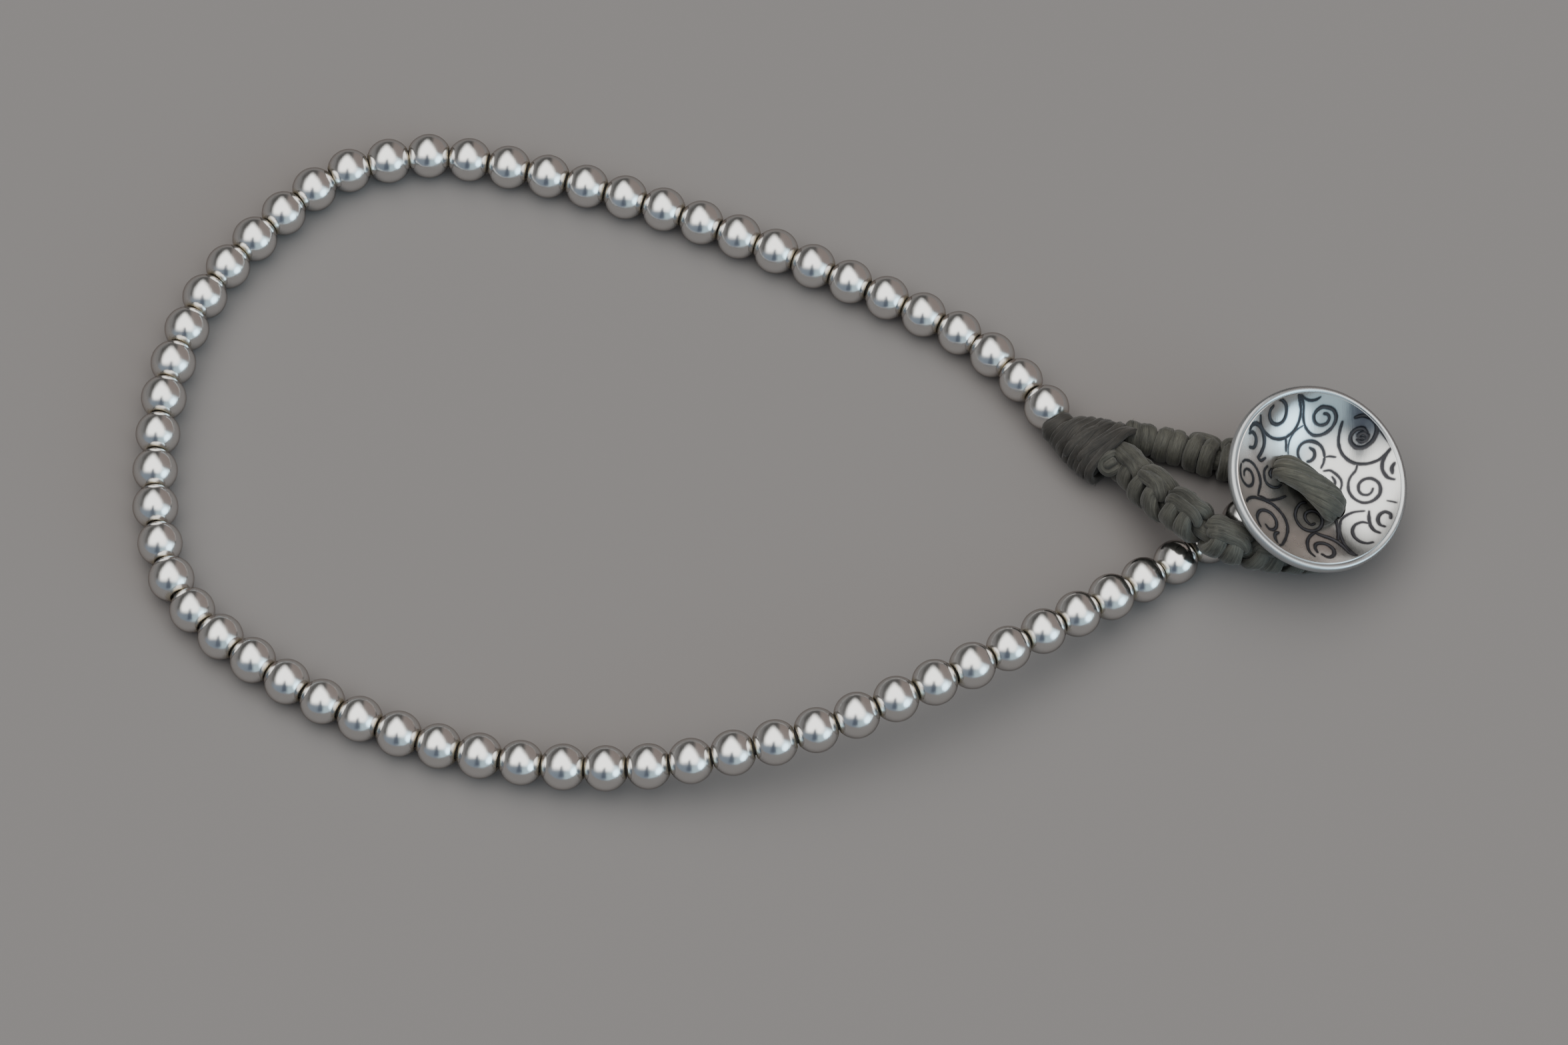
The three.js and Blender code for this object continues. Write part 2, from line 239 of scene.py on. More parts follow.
class Strands:
    """Strands of thread gathered into one closed mesh, with the lay of the filaments on every point."""

    def __init__(self):
        self.points, self.faces, self.lay = [], [], []

    def sweep(
        self, path, width, height, up=None, sides=14, lumps=0.07, seed=0.0, ring=False, flat=1.0, strays=0
    ):
        """width and height are half sizes in mm, each a number or a function of the share of the way.

        up is the direction of the height, or a list with one for each point.
        lumps is how uneven the strand is.
        flat under 1 makes the section squarer, as where turns are pressed against each other.
        strays is the number of loose hairs that stand off the strand.
        """
        count = len(path)
        draw = random.Random(round(seed * 1000) + count)
        roots = {draw.randrange(2, count - 2): draw.randrange(sides) for _ in range(strays)}
        loose = []
        first = len(self.points)
        length = 0.0
        across = None
        for i, centre in enumerate(path):
            before = path[i - 1] if i or ring else path[0]
            after = path[(i + 1) % count] if i + 1 < count or ring else path[-1]
            along = (after - before).normalized()
            if up is not None:
                across = (up[i] if isinstance(up, list) else up).cross(along).normalized()
            elif across is None:
                across = Vector((0, 0, 1)).cross(along)
                across = (across if across.length > 0.1 else Vector((0, 1, 0)).cross(along)).normalized()
            else:
                across = (across - along * across.dot(along)).normalized()
            rise = along.cross(across)
            length += (centre - path[i - 1]).length if i else 0.0
            share = i / (count - 1)
            half_width = width(share) if callable(width) else width
            half_height = height(share) if callable(height) else height
            for k in range(sides):
                angle = 2 * math.pi * k / sides
                c, s = math.cos(angle), math.sin(angle)
                fold = noise.noise(Vector((c * 1.9 + seed, s * 1.9, length * 0.4 + seed * 5.3)))
                swell = 1 + lumps * 2 * fold
                wide = math.copysign(abs(c) ** flat, c) * half_width
                high = math.copysign(abs(s) ** flat, s) * half_height
                self.points.append(centre + (across * wide + rise * high) * swell)
                if roots.get(i) == k:
                    loose.append((self.points[-1], along * draw.choice((-1, 1)), (across * c + rise * s)))
                self.lay.append((c + seed * 3.1, s + seed * 1.7, length))
        rows = count if ring else count - 1
        for i in range(rows):
            self.faces += band(first + i * sides, first + (i + 1) % count * sides, sides)
        if not ring:
            self.faces.append(tuple(first + k for k in reversed(range(sides))))
            self.faces.append(tuple(first + (count - 1) * sides + k for k in range(sides)))
        for root, along, outwards in loose:
            reach, stand, bend = draw.uniform(0.3, 0.6), draw.uniform(0.06, 0.18), draw.uniform(-0.3, 0.3)
            aside = along.cross(outwards) * bend
            hair = [
                root + along * reach * t + outwards * (stand * t * (1.6 - t) - 0.04) + aside * t * t
                for t in (0, 0.2, 0.4, 0.6, 0.8, 1)
            ]
            self.sweep(hair, HAIR_RADIUS, HAIR_RADIUS, sides=4, lumps=0, seed=seed)

    def piece(self, name, material, place=Matrix.Identity(4)):
        mesh = bpy.data.meshes.new(name)
        mesh.from_pydata([place @ point * MM for point in self.points], [], self.faces)
        mesh.attributes.new("lay", "FLOAT_VECTOR", "POINT")
        mesh.attributes["lay"].data.foreach_set("vector", [n for row in self.lay for n in row])
        mesh.shade_smooth()
        mesh.materials.append(material)
        return new_object(name, mesh)


def rounded(half, ends=0.08, tip=0.35):
    """A strand's half size, drawn in at both ends over a share of its way to a share of its size."""

    def size(share):
        near = min(share, 1 - share) / ends
        return half * (tip + (1 - tip) * math.sqrt(max(0.0, 1 - (1 - min(near, 1)) ** 2)))

    return size


def listed(sizes):
    """A strand's half size that follows a list from its first end to its last."""
    return lambda share: sizes[round(share * (len(sizes) - 1))]


brown_thread = thread_finish("brown_olive_thread", (0.004, 0.0035, 0.003), (0.059, 0.052, 0.045))
green_thread = thread_finish("grey_olive_thread", (0.008, 0.008, 0.0065), (0.1, 0.097, 0.081))

STRING_ROUTE = [
    (19.5, 1.9, 1.8), (18.3, 3.5, 1.8), (15, 7.5, 1.5), (10.4, 10.7, 1.5), (0.7, 15.6, 1.5),
    (-9.3, 19.8, 1.5), (-20, 22.8, 1.5), (-25.4, 22.6, 1.5), (-30.3, 20.2, 1.5), (-37, 12, 1.5),
    (-39.5, 1.7, 1.6), (-38, -9.3, 1.5), (-30.4, -16.5, 1.5), (-20.4, -21.2, 1.6), (-9.5, -23.1, 2.4),
    (1.1, -21.9, 3.9), (11.1, -17.9, 4.5), (19.9, -12.5, 3.2), (26, -8.1, 1.6), (28.2, -6.5, 1.5),
    (31.5, -4.45, 1.6),
]
THREAD_RADIUS = 0.47
string_line = smooth_path(STRING_ROUTE, per_span=24)
thread = Strands()
thread.sweep(string_line, THREAD_RADIUS, THREAD_RADIUS, sides=10, lumps=0.03)
thread_piece = thread.piece("bead_thread", brown_thread)
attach(thread_piece, "root")


# Beads: seamless hollow balls of polished silver, each with a small flat round its hole.
# They are pushed along the thread until the flats nearly touch, and no two are quite the same size.
BEAD_RADIUS = 1.5
BEAD_HALF_LENGTH = 1.35
BEAD_FLAT = 0.66
BEAD_HOLE = 0.52
BEAD_PITCH = 2.715
BEAD_COUNT = 62
FIRST_BEAD = 2.0


def turned(name, outline, segments):
    """A body turned about Z from a closed outline of (radius, height) in mm, its faces outwards."""
    points, faces = [], []
    rows = len(outline)
    for radius, height in outline:
        for k in range(segments):
            angle = 2 * math.pi * k / segments
            points.append(Vector((math.cos(angle) * radius, math.sin(angle) * radius, height)))
    for row in range(rows):
        faces += band(row * segments, (row + 1) % rows * segments, segments)
    mesh = bpy.data.meshes.new(name)
    mesh.from_pydata(points, [], faces)
    mesh.shade_smooth()
    return new_object(name, mesh)


def geometry_tree(name, inputs):
    """A Geometry Nodes tree and its inputs: Geometry, and the named ones with their kinds and values."""
    tree = bpy.data.node_groups.new(name, "GeometryNodeTree")
    for way in ("INPUT", "OUTPUT"):
        tree.interface.new_socket("Geometry", in_out=way, socket_type="NodeSocketGeometry")
    for label, (kind, _) in inputs.items():
        tree.interface.new_socket(label, in_out="INPUT", socket_type=f"NodeSocket{kind}")
    nodes = Nodes(tree)
    start = nodes.add("NodeGroupInput")
    return nodes, {label: start.other(label) for label in ["Geometry", *inputs]}


def plain_mesh(body):
    """The mesh that a body's modifiers make, which are then removed."""
    depsgraph = bpy.context.evaluated_depsgraph_get()
    mesh = bpy.data.meshes.new_from_object(body.evaluated_get(depsgraph), depsgraph=depsgraph)
    body.modifiers.clear()
    return mesh


def grow(name, base, nodes, result, finish, inputs):
    """Ends the tree with real geometry in one material, runs it on base and keeps a plain mesh."""
    real = nodes.add("GeometryNodeRealizeInstances", None, {"Geometry": result})
    finished = nodes.add("GeometryNodeSetMaterial", None, {"Geometry": real, "Material": finish})
    nodes.add("NodeGroupOutput", None, {"Geometry": finished})
    modifier = base.modifiers.new(name, "NODES")
    modifier.node_group = nodes.tree
    for item in nodes.tree.interface.items_tree:
        if item.in_out == "INPUT" and item.name in inputs:
            modifier[item.identifier] = inputs[item.name][1]
    mesh = plain_mesh(base)
    mesh.name = name
    bpy.data.objects.remove(base)
    return new_object(name, mesh)


def line_object(name, line, sizes=None):
    """A plain line of edges in mm, with an optional vector of sizes at each point."""
    mesh = bpy.data.meshes.new(name)
    mesh.from_pydata(line, [(i, i + 1) for i in range(len(line) - 1)], [])
    if sizes:
        mesh.attributes.new("size", "FLOAT_VECTOR", "POINT")
        mesh.attributes["size"].data.foreach_set("vector", [n for size in sizes for n in size])
    return new_object(name, mesh)


ball = [
    (BEAD_RADIUS * math.sin(math.radians(a)), -BEAD_RADIUS * math.cos(math.radians(a)))
    for a in range(30, 151, 6)
]
bead_outline = [
    (BEAD_HOLE + 0.1, -BEAD_HALF_LENGTH),
    (BEAD_FLAT, -BEAD_HALF_LENGTH),
    *ball,
    (BEAD_FLAT, BEAD_HALF_LENGTH),
    (BEAD_HOLE + 0.1, BEAD_HALF_LENGTH),
    (BEAD_HOLE + 0.02, BEAD_HALF_LENGTH - 0.03),
    (BEAD_HOLE, BEAD_HALF_LENGTH - 0.1),
    (BEAD_HOLE, -BEAD_HALF_LENGTH + 0.1),
    (BEAD_HOLE + 0.02, -BEAD_HALF_LENGTH + 0.03),
]
bead = turned("bead", bead_outline, segments=40)
# The silver is duller near the holes: reach is 0 round the middle of a bead and 1 at its flats.
reach = bead.data.attributes.new("reach", "FLOAT", "POINT")
reach.data.foreach_set("value", [abs(v.co.z) / BEAD_HALF_LENGTH for v in bead.data.vertices])

silver, nodes = new_finish("polished_silver")
place = nodes.add("ShaderNodeTexCoord", output="Object")
reach = nodes.add("ShaderNodeAttribute", {"attribute_name": "reach"}, output="Fac")
scuffs = nodes.grain(place, 5200.0, 5.0, 0.6)
dents = nodes.grain(place, 900.0, 2.0, 0.5)
smears = nodes.grain(place, 1500.0, 3.0, 0.6)
dulled = nodes.smooth_step(reach + smears * 0.3, 0.98, 1.22)
silver_colour = nodes.mix(dulled, (0.74, 0.73, 0.72, 1), (0.5, 0.45, 0.35, 1))
ripple = nodes.bump(dents, 0.32, 0.00006)
nodes.surface(
    {
        "Base Color": silver_colour,
        "Metallic": 1.0,
        "Roughness": 0.12 + 0.12 * smears + 0.22 * dulled,
        "Normal": nodes.bump(scuffs, 0.1, 0.000012, ripple),
        "Specular Tint": (0.58, 0.54, 0.52, 1),
    }
)

bead_inputs = {
    "Bead": ("Object", bead),
    "Count": ("Int", BEAD_COUNT),
    "Pitch": ("Float", BEAD_PITCH),
    "First Bead": ("Float", FIRST_BEAD),
    "Bead Radius": ("Float", BEAD_RADIUS),
    "Smallest Share": ("Float", 0.96),
    "Sway": ("Float", math.radians(1.3)),
    "Seed": ("Int", 4),
}
nodes, given = geometry_tree("beads_on_a_thread", bead_inputs)
curve = nodes.add("GeometryNodeMeshToCurve", None, {"Mesh": given["Geometry"]})
number = nodes.add("GeometryNodeInputIndex")
on_thread = nodes.add(
    "GeometryNodeSampleCurve",
    {"mode": "LENGTH", "use_all_curves": True},
    {"Curves": curve, "Length": given["First Bead"] + given["Pitch"] * number},
    output="Position",
)
spot = nodes.split(on_thread)
height = nodes.add(
    "ShaderNodeMath", {"operation": "MAXIMUM"}, {0: spot.other("Z"), 1: given["Bead Radius"]}
)
above_table = nodes.combine(X=spot, Y=spot.other("Y"), Z=height)
points = nodes.add("GeometryNodePoints", None, {"Count": given["Count"], "Position": above_table})
facing = nodes.add(
    "FunctionNodeAlignRotationToVector", {"axis": "Z"}, {"Vector": on_thread.other("Tangent")}
)
# A bead sways a little on the thread, and turns round it sixty times as far.
evenly = nodes.combine(X=given["Sway"], Y=given["Sway"], Z=given["Sway"])
least = nodes.vector("MULTIPLY", (-1.0, -1.0, -60.0), evenly)
most = nodes.vector("MULTIPLY", (1.0, 1.0, 60.0), evenly)
sway = nodes.add(
    "FunctionNodeRandomValue",
    {"data_type": "FLOAT_VECTOR"},
    {0: least, 1: most, "ID": number, "Seed": given["Seed"]},
)
turn = nodes.add("FunctionNodeEulerToRotation", None, {"Euler": sway})
swayed = nodes.add(
    "FunctionNodeRotateRotation", {"rotation_space": "LOCAL"}, {"Rotation": facing, "Rotate By": turn}
)
one_bead = nodes.add("GeometryNodeObjectInfo", None, {"Object": given["Bead"]}, output="Geometry")
size_share = nodes.add(
    "FunctionNodeRandomValue",
    {"data_type": "FLOAT"},
    {2: given["Smallest Share"], 3: 1.0, "ID": number, "Seed": given["Seed"]},
    output=1,
)
placed = nodes.add(
    "GeometryNodeInstanceOnPoints",
    None,
    {"Points": points, "Instance": one_bead, "Rotation": swayed, "Scale": size_share},
)
beads = grow("beads", line_object("string_line", string_line), nodes, placed, silver, bead_inputs)
bpy.data.objects.remove(bead)
beads.data.transform(Matrix.Scale(MM, 4))
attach(beads, "root")
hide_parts(*[name for name in frame["nodes"] if name.startswith("bead_stretch")])


# Neck: the ends of the bead thread are bound together with close turns of the same thread.
# One broad turn sits against the first bead, and the rest widen into a cone towards the loop.
# Each row is x, y, z, the heading of the neck in degrees, half width and half height.
NECK_ROWS = [
    (18.92, 2.2, 1.62, -60, 1.02, 1.02), (19.2, 1.95, 1.58, -57, 1.16, 1.1),
    (19.55, 1.75, 1.58, -50, 1.25, 1.22), (19.95, 1.55, 1.6, -43, 1.6, 1.5),
    (20.4, 1.28, 1.6, -38, 1.82, 1.6), (20.95, 0.9, 1.65, -35, 2.02, 1.65),
    (21.35, 0.65, 1.7, -33, 2.15, 1.7), (21.75, 0.4, 1.7, -32, 2.25, 1.72),
    (22.15, 0.15, 1.7, -32, 2.35, 1.75), (22.5, -0.07, 1.75, -32, 2.4, 1.78),
]
COLLAR_ROW = 0.55
CONE_TURNS = 9


def neck_turn(strands, row, half_width, half_height, proud, lean, seed, start=0, end=360):
    """One turn of thread round the neck at a fractional row of it, from one angle to another in degrees.

    proud is how far it stands out of the neck, and lean how far it slants along it.
    """
    low = min(int(row), len(NECK_ROWS) - 2)
    x, y, z, heading, wide, high = [
        a + (b - a) * (row - low) for a, b in zip(NECK_ROWS[low], NECK_ROWS[low + 1])
    ]
    along = Vector((math.cos(math.radians(heading)), math.sin(math.radians(heading)), 0))
    level = Vector((-along.y, along.x, 0))
    closed = end - start >= 360
    steps = round((end - start) / 8)
    path, outward = [], []
    for i in range(steps + (not closed)):
        angle = math.radians(start + (end - start) * i / steps)
        wander = noise.noise(Vector((math.cos(angle) * 1.3, math.sin(angle) * 1.3, seed * 7.1)))
        across = level * math.cos(angle) * (wide - half_height + proud)
        rise = math.sin(angle) * (high - half_height + proud)
        forward = along * (lean * math.cos(angle) * wide + 0.16 * wander)
        point = Vector((x, y, z + rise)) + across + forward
        point.z = max(point.z, half_height)
        path.append(point)
        outward.append((across + Vector((0, 0, rise))).normalized())
    if closed:
        width, height = half_width, half_height
    else:
        width, height = rounded(half_width, 0.2), rounded(half_height, 0.2, 0.1)
    strands.sweep(
        path,
        width,
        height,
        up=outward,
        sides=20,
        lumps=0.13,
        seed=seed,
        ring=closed,
        flat=0.85,
        strays=3 if row > COLLAR_ROW else 0,
    )


neck = Strands()
# A core fills the cone inside the turns.
neck.sweep(
    [Vector(row[:3]) for row in NECK_ROWS[:-1]],
    lambda s: 0.6 + 1.35 * s,
    lambda s: 0.6 + 0.8 * s,
    sides=24,
    lumps=0.02,
)
neck_turn(neck, COLLAR_ROW, half_width=0.5, half_height=0.42, proud=0.08, lean=0.04, seed=0.3)
draw = random.Random(8)
for number in range(CONE_TURNS):
    share = number / (CONE_TURNS - 1)
    neck_turn(
        neck,
        2.1 + 6.75 * share,
        half_width=draw.uniform(0.28, 0.4),
        half_height=0.26,
        proud=draw.uniform(-0.04, 0.06),
        lean=draw.uniform(0.06, 0.2) + 0.08 * share,
        seed=number * 1.37,
    )
# Two short turns cross over the others on top, and their ends are tucked in at the sides.
for row, lean, start, end in [(5.2, 0.36, 15, 165), (7.5, 0.4, 5, 150)]:
    neck_turn(neck, row, 0.3, 0.18, proud=0.08, lean=lean, seed=row * 2.3, start=start, end=end)
neck_piece = neck.piece("neck_turns", brown_thread)
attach(neck_piece, "root")
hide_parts("neck_whipping")


# Cord end: the trimmed end of the thread, folded into a small round lobe round a heart of its filaments.
# The binding holds the end, and the lobe pokes out next to the loop.
tail_low, tail_high = [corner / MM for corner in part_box("cord_tail")]
tail_middle = (tail_low + tail_high) / 2 + Vector((0.38, 0.62, -0.15))
tail_face = Vector((-0.2, -0.55, 0.82)).normalized()
roughly_right = Vector((1, 0.55, 0.3))
tail_right = (roughly_right - tail_face * tail_face.dot(roughly_right)).normalized()
tail_up = tail_face.cross(tail_right)
LOBE_RADIUS = 0.46
# Points of the fold: offset to the right in mm, height as a share of the radius, lift off the face in mm.
FOLD = [
    (0.8, 0.9, -0.5), (0.35, 1, 0), (0, 0.92, 0), (0, 0.55, 0), (0, 0, 0), (0, -0.55, 0), (0, -0.92, 0),
    (0.35, -1, 0), (0.8, -0.9, -0.5),
]
fold_line = [
    tail_middle
    + tail_right * (beside - LOBE_RADIUS * math.sqrt(1 - rise * rise))
    + tail_up * LOBE_RADIUS * rise * 1.12
    + tail_face * lift
    for beside, rise, lift in FOLD
]
tail = Strands()
tail.sweep(smooth_path(fold_line, 6), 0.28, 0.4, up=tail_face, sides=24, lumps=0.1, seed=1.4)
heart = [tail_middle + tail_right * beside + tail_face * 0.05 for beside in (-0.3, 0, 0.3, 0.6)]
tail.sweep(smooth_path(heart, 6), rounded(0.34, 0.3), rounded(0.5, 0.3), up=tail_face, sides=24, seed=0.6)
tail_piece = tail.piece("cord_end", green_thread)
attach(tail_piece, "root")
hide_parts("cord_tail")


# Loop: a core of cords covered with cow hitches, which goes round the button's cord and back to the neck.
# Each hitch is two turns round the core under two fat bars, and the bars make a ridge along the loop.
# Each row is x, y, z, half thickness, and how far the ridge is rolled from upright, in degrees.
LOOP_ROWS = [
    (22.0, 0.9, 1.8, 1.0, 10), (22.8, -0.15, 1.85, 1.15, 0), (23.65, -1.35, 2.2, 1.3, -5),
    (25.05, -3.75, 3.4, 1.42, -12), (26.8, -5.85, 4.45, 1.45, -12), (28.6, -7.4, 4.5, 1.45, -10),
    (30.4, -7.9, 3.9, 1.35, -5), (32.1, -7.95, 3.0, 1.25, 0), (34.2, -7.6, 1.85, 1.15, 0),
    (36.6, -6.9, 1.15, 1.0, 10), (38.2, -4.9, 1.15, 1.0, 20), (37.5, -2.4, 1.15, 1.0, 30),
    (34.9, -0.9, 1.15, 1.1, 45), (31.8, -0.5, 1.3, 1.25, 70), (29.4, -0.2, 1.35, 1.3, 92),
    (28, 0.3, 1.35, 1.3, 108), (26.2, 0.9, 1.3, 1.2, 124), (24.8, 1.3, 1.4, 1.1, 130),
    (23.5, 1.5, 1.6, 1.0, 132), (22.6, 1.65, 1.65, 0.9, 132),
]
CORE_RADIUS = 0.7
HITCH_COUNT = 15
HITCH_KINDS = 5
HITCH_LENGTH = 2.8
HITCH_RADIUS = 1.3
RING_STEPS = 44


def barrel(share):
    """How full a bar is along its length: 0 at its ends and 1 in its middle."""
    return (1 - abs(2 * share - 1) ** 2.4) ** 0.5


def hitch(name, seed):
    """One hitch about the X axis, as long and thick as the values above, with its bars on top."""
    strands = Strands()
    draw = random.Random(seed)
    for side in (-1, 1):
        lean = draw.uniform(-0.1, 0.16)
        middle = side * draw.uniform(0.62, 0.7)
        fatness = draw.uniform(0.92, 1.08)
        ring, widths = [], []
        for k in range(RING_STEPS):
            angle = 2 * math.pi * k / RING_STEPS
            pinch = (1 - math.sin(angle)) / 2
            out = 0.9 + 0.04 * pinch
            drawn_in = side * 0.14 * (1 - pinch)
            along = middle - drawn_in + lean * math.cos(angle)
            ring.append(Vector((along, math.cos(angle) * out, math.sin(angle) * out)))
            widths.append(fatness * (0.42 + 0.28 * min(pinch * 1.6, 1) ** 0.8))
        strands.sweep(
            ring,
            listed(widths),
            0.38,
            up=[Vector((0, point.y, point.z)) for point in ring],
            sides=18,
            lumps=0.13,
            seed=seed * 2.1 + side,
            ring=True,
            flat=0.8,
            strays=4,
        )
    for aside, half_width, half_height, start, end in (
        (0.26, draw.uniform(0.46, 0.54), 0.46, -1.24, draw.uniform(1.05, 1.2)),
        (-0.34, draw.uniform(0.36, 0.46), 0.42, draw.uniform(-1.15, -0.9), 1.24),
    ):
        sway = draw.uniform(-0.16, 0.16)
        bar = [
            (start, aside - sway, 0.3),
            (start * 0.9, aside - sway, 0.74),
            (start * 0.5, aside, 1.02),
            (end * 0.5, aside, 1.06),
            (end * 0.9, aside + sway, 0.78),
            (end, aside + sway, 0.34),
        ]
        strands.sweep(
            smooth_path(bar, 6),
            lambda s: half_width * (0.35 + 0.65 * barrel(s)),
            lambda s: half_height * (0.4 + 0.6 * barrel(s)),
            up=Vector((0, aside * 0.7, 1)),
            sides=20,
            lumps=0.16,
            seed=seed * 1.3 + aside,
            strays=6,
        )
    return strands.piece(name, green_thread)


hitches = bpy.data.collections.new("hitches")
bpy.context.scene.collection.children.link(hitches)
for number in range(HITCH_KINDS):
    one = hitch(f"hitch_{number}", seed=number + 1)
    one.data.transform(Matrix.Scale(1 / MM, 4))
    bpy.context.scene.collection.objects.unlink(one)
    hitches.objects.link(one)

hitch_inputs = {
    "Hitches": ("Collection", hitches),
    "Count": ("Int", HITCH_COUNT),
    "Start": ("Float", 1.2),
    "First Pitch": ("Float", 3.25),
    "Pitch Loss": ("Float", 0.085),
    "Hitch Length": ("Float", HITCH_LENGTH),
    "Full Thickness": ("Float", HITCH_RADIUS),
    "Sway": ("Float", math.radians(6)),
    "Seed": ("Int", 11),
}
nodes, given = geometry_tree("hitches_round_a_loop", hitch_inputs)
curve = nodes.add("GeometryNodeMeshToCurve", None, {"Mesh": given["Geometry"]})
number = nodes.add("GeometryNodeInputIndex")
# Every hitch is squeezed a little shorter than the one before it.
middle = number + 0.5
pitch = given["First Pitch"] - given["Pitch Loss"] * middle
way = given["Start"] + middle * (given["First Pitch"] - given["Pitch Loss"] * middle * 0.5)
size = nodes.add(
    "GeometryNodeInputNamedAttribute", {"data_type": "FLOAT_VECTOR"}, {"Name": "size"}, output="Attribute"
)
on_loop = nodes.add(
    "GeometryNodeSampleCurve",
    {"mode": "LENGTH", "use_all_curves": True, "data_type": "FLOAT_VECTOR"},
    {"Curves": curve, "Length": way, "Value": size},
    output="Position",
)
size_here = nodes.split(on_loop.other("Value"))
points = nodes.add("GeometryNodePoints", None, {"Count": given["Count"], "Position": on_loop})
along = nodes.add("FunctionNodeAlignRotationToVector", {"axis": "X"}, {"Vector": on_loop.other("Tangent")})
upright = nodes.add(
    "FunctionNodeAlignRotationToVector",
    {"axis": "Z", "pivot_axis": "X"},
    {"Rotation": along, "Vector": (0.0, 0.0, 1.0)},
)
stray = nodes.add(
    "FunctionNodeRandomValue",
    {"data_type": "FLOAT"},
    {2: given["Sway"] * -1.0, 3: given["Sway"], "ID": number, "Seed": given["Seed"]},
    output=1,
)
turn = nodes.add(
    "FunctionNodeAxisAngleToRotation",
    None,
    {"Axis": (1.0, 0.0, 0.0), "Angle": size_here.other("Y") + stray},
)
rolled = nodes.add(
    "FunctionNodeRotateRotation", {"rotation_space": "LOCAL"}, {"Rotation": upright, "Rotate By": turn}
)
choice = nodes.add(
    "GeometryNodeCollectionInfo",
    None,
    {"Collection": given["Hitches"], "Separate Children": True, "Reset Children": True},
)
fat = size_here / given["Full Thickness"]
scale = nodes.combine(X=pitch / given["Hitch Length"], Y=fat, Z=fat)
placed = nodes.add(
    "GeometryNodeInstanceOnPoints",
    None,
    {"Points": points, "Instance": choice, "Pick Instance": True, "Rotation": rolled, "Scale": scale},
)
loop_line = smooth_path([row[:3] for row in LOOP_ROWS], per_span=12)
loop_sizes = smooth_path([(row[3], math.radians(row[4]), 0) for row in LOOP_ROWS], per_span=12)
loop_base = line_object("loop_line", loop_line, loop_sizes)
loop_hitches = grow("loop_hitches", loop_base, nodes, placed, green_thread, hitch_inputs)
bpy.data.batch_remove([*hitches.objects, hitches])
loop_hitches.data.transform(Matrix.Scale(MM, 4))
loop_core = Strands()
loop_core.sweep(loop_line, CORE_RADIUS, CORE_RADIUS, sides=12, lumps=0.05, seed=3.0)
loop_core_piece = loop_core.piece("loop_cores", green_thread)
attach(loop_hitches, "root")
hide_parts("button_loop")
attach(loop_core_piece, "root")


# Button: a shallow dish of cast silver with a polished rim and two holes.
# Scrolls are cut into its hollow face and darkened, and the metal between them is rubbed bright again.
DISH_RADIUS = 5.72
DISH_DEPTH = 2.25
BALL_RADIUS = (DISH_RADIUS**2 + DISH_DEPTH**2) / (2 * DISH_DEPTH)
BUTTON_WALL = 0.9
HOLE_RADIUS = 0.88
DRILL_DEPTH = 4.5
HOLE_SPACING = 3.9
HOLE_TURN = -0.55
HOLE_SHIFT = Vector((0.02, -0.22, 0))
BUTTON_FACING = Vector((0.32, -0.22, 0.92)).normalized()
button_turn = Vector((0, 0, 1)).rotation_difference(BUTTON_FACING)
button_place = Matrix.Translation((35.46, -4.2, 6.2)) @ button_turn.to_matrix().to_4x4()
GROOVE_DEPTH = 0.05

